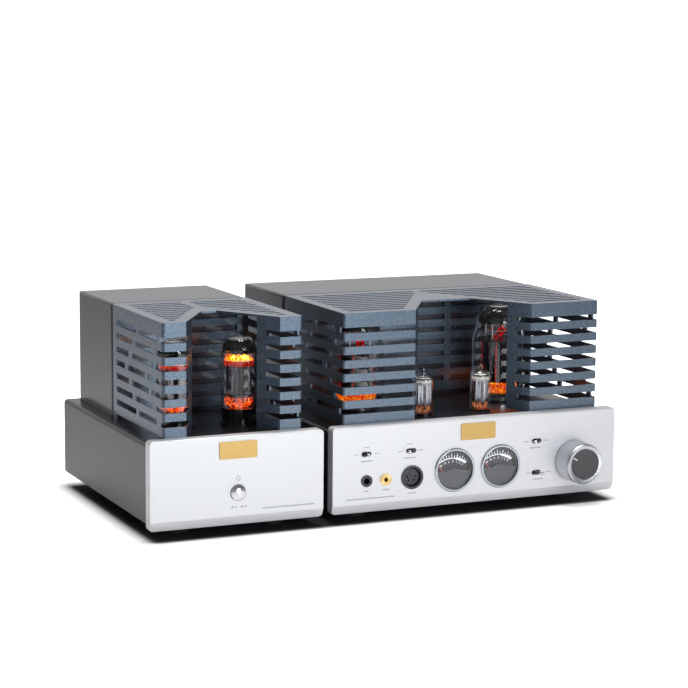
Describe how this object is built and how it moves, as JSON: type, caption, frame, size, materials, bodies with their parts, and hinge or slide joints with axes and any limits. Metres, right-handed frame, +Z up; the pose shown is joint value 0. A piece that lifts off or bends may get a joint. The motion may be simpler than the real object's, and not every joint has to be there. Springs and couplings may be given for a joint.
{
  "type": "valve headphone amplifier with separate power supply",
  "caption": "Two-cabinet valve headphone amplifier with a power supply, lift-off slotted valve cages, level meters, toggles and a volume knob.",
  "frame": {"origin": "on the floor, at the middle of the whole set", "axes": "+X to the right along the front panels, +Y to the back, +Z up"},
  "size_m": [0.512, 0.322, 0.2096],
  "materials": {
    "case_paint": "metallic gloss paint, dark blue-grey",
    "cage_paint": "metallic gloss paint, blue-grey with a fine speckle",
    "plate_paint": "satin paint, dark grey",
    "panel_metal": "brushed along its length, clear anodised",
    "badge_gold": "brushed, lacquered",
    "core_steel": "varnished laminations",
    "board_resin": "solder-resist green",
    "capacitor_sleeve": "shrink sleeve",
    "black_plastic": "moulded",
    "button_metal": "turned and polished",
    "socket_metal": "nickel plate",
    "foot_rubber": "matt",
    "screw_steel": "blackened",
    "socket_ceramic": "glazed white ceramic",
    "valve_base": "polished black phenolic",
    "valve_collar": "bright metal collar",
    "valve_anode": "dull carbonised nickel",
    "valve_glass": "clear glass",
    "meter_glass": "clear glass",
    "bezel_metal": "polished",
    "dial_face": "matt black print",
    "needle_metal": "painted red",
    "pot_metal": "plated",
    "shaft_brass": "turned",
    "knob_metal": "turned and brushed",
    "knob_cap": "high gloss",
    "lever_chrome": "polished",
    "jack_gold": "gold plate",
    "jack_black": "moulded"
  },
  "bodies": {
    "cabinets": {"psu_chassis": "case_paint", "psu_transformer_cover": "case_paint", "amp_chassis": "case_paint", "amp_transformer_cover": "case_paint", "psu_bottom_plate": "plate_paint", "psu_rear_panel": "plate_paint", "amp_bottom_plate": "plate_paint", "amp_rear_panel": "plate_paint", "psu_front_panel": "panel_metal", "amp_front_panel": "panel_metal", "psu_badge": "badge_gold", "amp_badge": "badge_gold", "psu_mains_transformer": "core_steel", "psu_choke": "core_steel", "output_transformers": "core_steel", "psu_board": "board_resin", "amp_board": "board_resin", "psu_capacitors": "capacitor_sleeve", "amp_capacitors": "capacitor_sleeve", "psu_switch": "black_plastic", "psu_inlet": "black_plastic", "psu_link_socket": "socket_metal", "amp_link_socket": "socket_metal", "psu_feet": "foot_rubber", "amp_feet": "foot_rubber", "psu_screws": "screw_steel", "amp_screws": "screw_steel", "psu_valve_sockets": "socket_ceramic", "output_valve_sockets": "socket_ceramic", "signal_valve_sockets": "socket_ceramic", "psu_valve_bases": "valve_base", "output_valve_bases": "valve_collar", "psu_valve_anodes": "valve_anode", "output_valve_anodes": "valve_anode", "signal_valve_anodes": "valve_anode", "psu_valve_glass": "valve_glass", "output_valve_glass": "valve_glass", "signal_valve_glass": "valve_glass", "meter_cases": "black_plastic", "meter_bezels": "bezel_metal", "meter_dials": "dial_face", "meter_lenses": "meter_glass", "volume_pot": "pot_metal", "toggle_bodies": "black_plastic", "balanced_jack": "jack_gold", "stereo_jack": "jack_black", "four_pin_socket": "jack_black", "input_sockets": "jack_gold"},
    "power_button": {"psu_button": "button_metal"},
    "volume_control": {"volume_shaft": "shaft_brass", "volume_knob": "knob_metal", "volume_knob_cap": "knob_cap"},
    "phones_toggle": {"phones_lever": "lever_chrome"},
    "impedance_toggle": {"impedance_lever": "lever_chrome"},
    "source_toggle": {"source_lever": "lever_chrome"},
    "meter_toggle": {"meter_lever": "lever_chrome"},
    "left_meter_needle": {"left_needle": "needle_metal"},
    "right_meter_needle": {"right_needle": "needle_metal"},
    "psu_valve_cage": {"psu_cage": "cage_paint"},
    "amp_valve_cage": {"amp_cage": "cage_paint"}
  },
  "joints": [
    {"name": "power_button_push", "type": "slide", "parent": "cabinets", "child": "power_button", "axis": [0, 1, 0], "range_m": [0, 0.003], "stiffness_N_per_m": 400},
    {"name": "volume_turn", "type": "hinge", "parent": "cabinets", "child": "volume_control", "pos_m": [0.207, -0.132, 0.0456], "axis": [0, 1, 0], "range_deg": [-88, 212]},
    {"name": "phones_switch", "type": "hinge", "parent": "cabinets", "child": "phones_toggle", "pos_m": [-0.0295, -0.1215, 0.0695], "axis": [0, 0, 1], "range_deg": [-12, 12]},
    {"name": "impedance_switch", "type": "hinge", "parent": "cabinets", "child": "impedance_toggle", "pos_m": [0.02, -0.1215, 0.0694], "axis": [0, 0, 1], "range_deg": [0, 24]},
    {"name": "source_switch", "type": "hinge", "parent": "cabinets", "child": "source_toggle", "pos_m": [0.1635, -0.1215, 0.069], "axis": [0, 0, 1], "range_deg": [0, 24]},
    {"name": "meter_switch", "type": "hinge", "parent": "cabinets", "child": "meter_toggle", "pos_m": [0.1635, -0.1215, 0.0359], "axis": [0, 0, 1], "range_deg": [-24, 0]},
    {"name": "left_needle_swing", "type": "hinge", "parent": "cabinets", "child": "left_meter_needle", "pos_m": [0.0688, -0.1278, 0.031], "axis": [0, 1, 0], "range_deg": [0, 78], "stiffness_Nm_per_rad": 0.00006, "springref_deg": -17.19},
    {"name": "right_needle_swing", "type": "hinge", "parent": "cabinets", "child": "right_meter_needle", "pos_m": [0.1212, -0.1278, 0.031], "axis": [0, 1, 0], "range_deg": [0, 78], "stiffness_Nm_per_rad": 0.00006, "springref_deg": -17.19},
    {"name": "psu_cage_lift", "type": "slide", "parent": "cabinets", "child": "psu_valve_cage", "axis": [0, 0, 1], "range_m": [0, 0.13]},
    {"name": "amp_cage_lift", "type": "slide", "parent": "cabinets", "child": "amp_valve_cage", "axis": [0, 0, 1], "range_m": [0, 0.13]}
  ]
}
